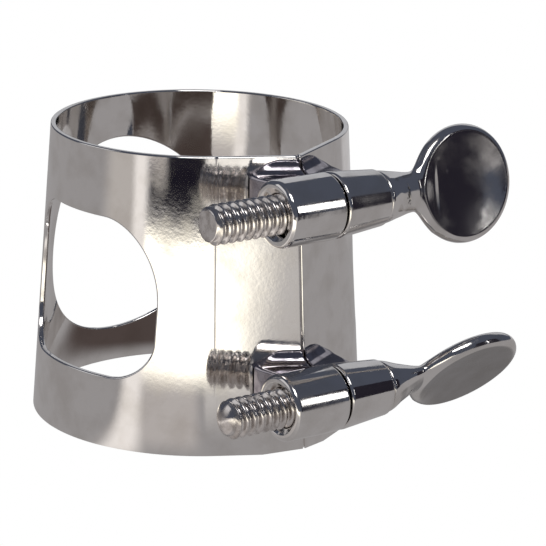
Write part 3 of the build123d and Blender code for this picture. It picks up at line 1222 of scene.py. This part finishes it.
@dataclass
class Studio:
    """Plain pale floor, a reflected copy of it with painted light and shade, soft light, cards that show
    only in reflections, and the camera.

    Attributes:
        eye: place of the camera.
        aim: the point that it looks at.
        roll: how far it is turned about its own line of sight.
        lens: its focal length in millimetres.
        film: width of its film in millimetres.
        nearest: distance at which it starts to see.
        middle: the point that the lamp faces.
        lamp_place: place of the lamp.
        lamp_size: length of its sides.
        lamp_power: its power in watts.
        floor_half: half the length of the floor's sides.
        floor_drop: how far the floor lies under the wide rim.
        glow_drop: how far its reflected copy lies under that rim.
        table_glow: how brightly that copy glows outside its painted light and shade.
        room_glow: how brightly the room glows in reflections.
    """

    eye: Triple = (-137.533 * MM, -199.687 * MM, 83.095 * MM)
    aim: Triple = (5.357 * MM, -4.18 * MM, 12.433 * MM)
    roll: float = math.radians(1.2014)
    lens: float = 184.05
    film: float = 36.0
    nearest: float = 0.01
    middle: Triple = (0, 0, 13 * MM)
    lamp_place: Triple = (-0.2, -0.3, 0.6)
    lamp_size: float = 0.3
    lamp_power: float = 1.5
    floor_half: float = 3.0
    floor_drop: float = 0.05 * MM
    glow_drop: float = 0.02 * MM
    table_glow: Triple = (0.36, 0.35, 0.355)
    room_glow: Triple = (0.075, 0.085, 0.115)

    def light(self) -> None:
        """Adds the soft key light."""
        lamp = bpy.data.lights.new("KeyLight", "AREA")
        lamp.shape = "RECTANGLE"
        lamp.size = lamp.size_y = self.lamp_size
        lamp.energy = self.lamp_power
        holder = bpy.data.objects.new("KeyLight", lamp)
        holder.location = self.lamp_place
        away = Vector(holder.location) - Vector(self.middle)
        holder.rotation_euler = away.to_track_quat("Z", "Y").to_euler()
        holder.visible_camera = False
        bpy.context.scene.collection.objects.link(holder)

    def sheet(self, name: str, corners: Sequence[Vector], emission: Triple) -> Piece:
        """Adds a studio rectangle with a plain glowing material."""
        piece = make_piece(name, np.array([list(c) for c in corners]), [(0, 1, 2, 3)])
        material = bpy.data.materials.new(name.lower())
        material.use_nodes = True
        recipe = Recipe(material.node_tree)
        recipe.tree.nodes.clear()
        glow = recipe.add("ShaderNodeEmission", {"Color": opaque(emission)})
        recipe.add("ShaderNodeOutputMaterial", {"Surface": glow.outputs[0]})
        piece.data.materials.append(material)
        return piece

    def reflected_only(self, piece: Piece) -> None:
        """Hides a studio piece from everything but reflections."""
        piece.visible_camera = piece.visible_diffuse = piece.visible_shadow = False

    def card(self, card: Card) -> None:
        """Adds a reflection card."""
        centre = Vector(card.centre)
        turn = (centre - Vector(card.faces)).to_track_quat("Z", "Y").to_matrix()
        half_width, half_height = card.size[0] / 2, card.size[1] / 2
        corners = [centre + turn @ Vector((x * half_width, y * half_height, 0)) for x, y in SQUARE]
        self.reflected_only(self.sheet(card.name, corners, card.glow))

    def floor(self) -> None:
        """Adds the pale floor, and a copy that only reflections see, with painted shadows and painted
        pools of light on it.
        """
        half = self.floor_half
        seen, glow = [self.sheet(name, [Vector((x * half, y * half, -drop)) for x, y in SQUARE],
                                 (1, 1, 1))
                      for name, drop in (("Floor", self.floor_drop), ("TableGlow", self.glow_drop))]
        seen.visible_glossy = False
        self.reflected_only(glow)
        self.paint_light_and_shade(glow.data.materials[0].node_tree)

    def paint_light_and_shade(self, tree: Tree) -> None:
        """Lays the painted shadows and painted pools of light over the table's even glow."""
        recipe = Recipe(tree)
        calc = recipe.calc
        place = recipe.add("ShaderNodeTexCoord").outputs["Object"]
        split = recipe.add("ShaderNodeSeparateXYZ", {0: place}).outputs
        colour: object = opaque(self.table_glow)
        for patch in FLOOR_LIGHT_AND_SHADE:
            x = calc("SUBTRACT", split[0], patch.origin[0])
            y = calc("SUBTRACT", split[1], patch.origin[1])
            azimuth = calc("DEGREES", calc("ARCTAN2", x, calc("MULTIPLY", y, -1.0)))
            reach = calc("SQRT", calc("ADD", calc("MULTIPLY", x, x), calc("MULTIPLY", y, y)))
            share = calc("MULTIPLY", recipe.window(azimuth, patch.azimuths, patch.soft[0]),
                         recipe.window(reach, patch.reaches, patch.soft[1]))
            colour = recipe.blend(share, colour, opaque(patch.glow))
        emission = next(node for node in tree.nodes if node.type == "EMISSION")
        tree.links.new(colour, emission.inputs["Color"])

    def world(self) -> None:
        """Makes the room: white behind the object, dim in the plating's reflections."""
        world = bpy.data.worlds.new("studio")
        world.use_nodes = True
        recipe = Recipe(world.node_tree)
        room, white = (recipe.add("ShaderNodeBackground", {"Color": colour})
                       for colour in (opaque(self.room_glow), (1, 1, 1, 1)))
        is_seen = recipe.add("ShaderNodeLightPath").outputs["Is Camera Ray"]
        mix = recipe.add("ShaderNodeMixShader", {
            0: is_seen, 1: room.outputs[0], 2: white.outputs[0]})
        out = recipe.tree.nodes["World Output"]
        recipe.tree.links.new(mix.outputs[0], out.inputs["Surface"])
        bpy.context.scene.world = world

    def camera(self) -> None:
        """Sets the scene's camera."""
        data = bpy.data.cameras.new("Camera")
        data.lens = self.lens
        data.sensor_width = self.film
        data.clip_start = self.nearest
        holder = bpy.data.objects.new("Camera", data)
        look = (Vector(self.aim) - Vector(self.eye)).to_track_quat("-Z", "Y").to_matrix()
        holder.matrix_world = Matrix.Translation(self.eye) @ (
            look @ Matrix.Rotation(self.roll, 3, "Z")).to_4x4()
        bpy.context.scene.collection.objects.link(holder)
        bpy.context.scene.camera = holder

    def build(self) -> None:
        """Sets up the world, the floor, the light, the cards and the camera."""
        bpy.context.scene.view_settings.view_transform = "Standard"
        self.world()
        self.floor()
        self.light()
        for card in CARDS:
            self.card(card)
        self.camera()


# ---- assembly -----------------------------------------------------------------------------


def main() -> None:
    """Builds the ligature and its studio."""
    logging.basicConfig(level=logging.INFO, format="%(name)s %(message)s")
    plates = {plate.slot: plate.build() for plate in
              (BAND_PLATE, POST_PLATE, SADDLE_PLATE_AND_SHADE, SCREW_PLATE, HEAD_PLATE)}
    band = Band()
    finish_piece(band.build(), plates, "frame", Slot.BAND, "band")
    shank = Shank(thread_tree(), plates[Slot.SCREW])
    posts = Posts(turning_tree(), plates[Slot.POST])
    saddle, head = Saddle(), Head()
    for row in (Row("upper", 0.0, -10), Row("lower", 0.5 * MM, 42)):
        for piece, body, slot, part in (
                (posts.threaded(row), "frame", Slot.POST, "threaded_post"),
                (posts.plain(row), "frame", Slot.POST, "plain_post"),
                (saddle.build(row, band, -1), "frame", Slot.SADDLE, "threaded_saddle"),
                (saddle.build(row, band, 1), "frame", Slot.SADDLE, "plain_saddle"),
                (shank.build(row), row.node("shank"), Slot.SCREW, "screw_shank"),
                (head.build(row), row.node("head"), Slot.HEAD, "thumb_head")):
            finish_piece(piece, plates, body, slot, row.node(part))
    Studio().build()


if __name__ == "__main__":
    main()
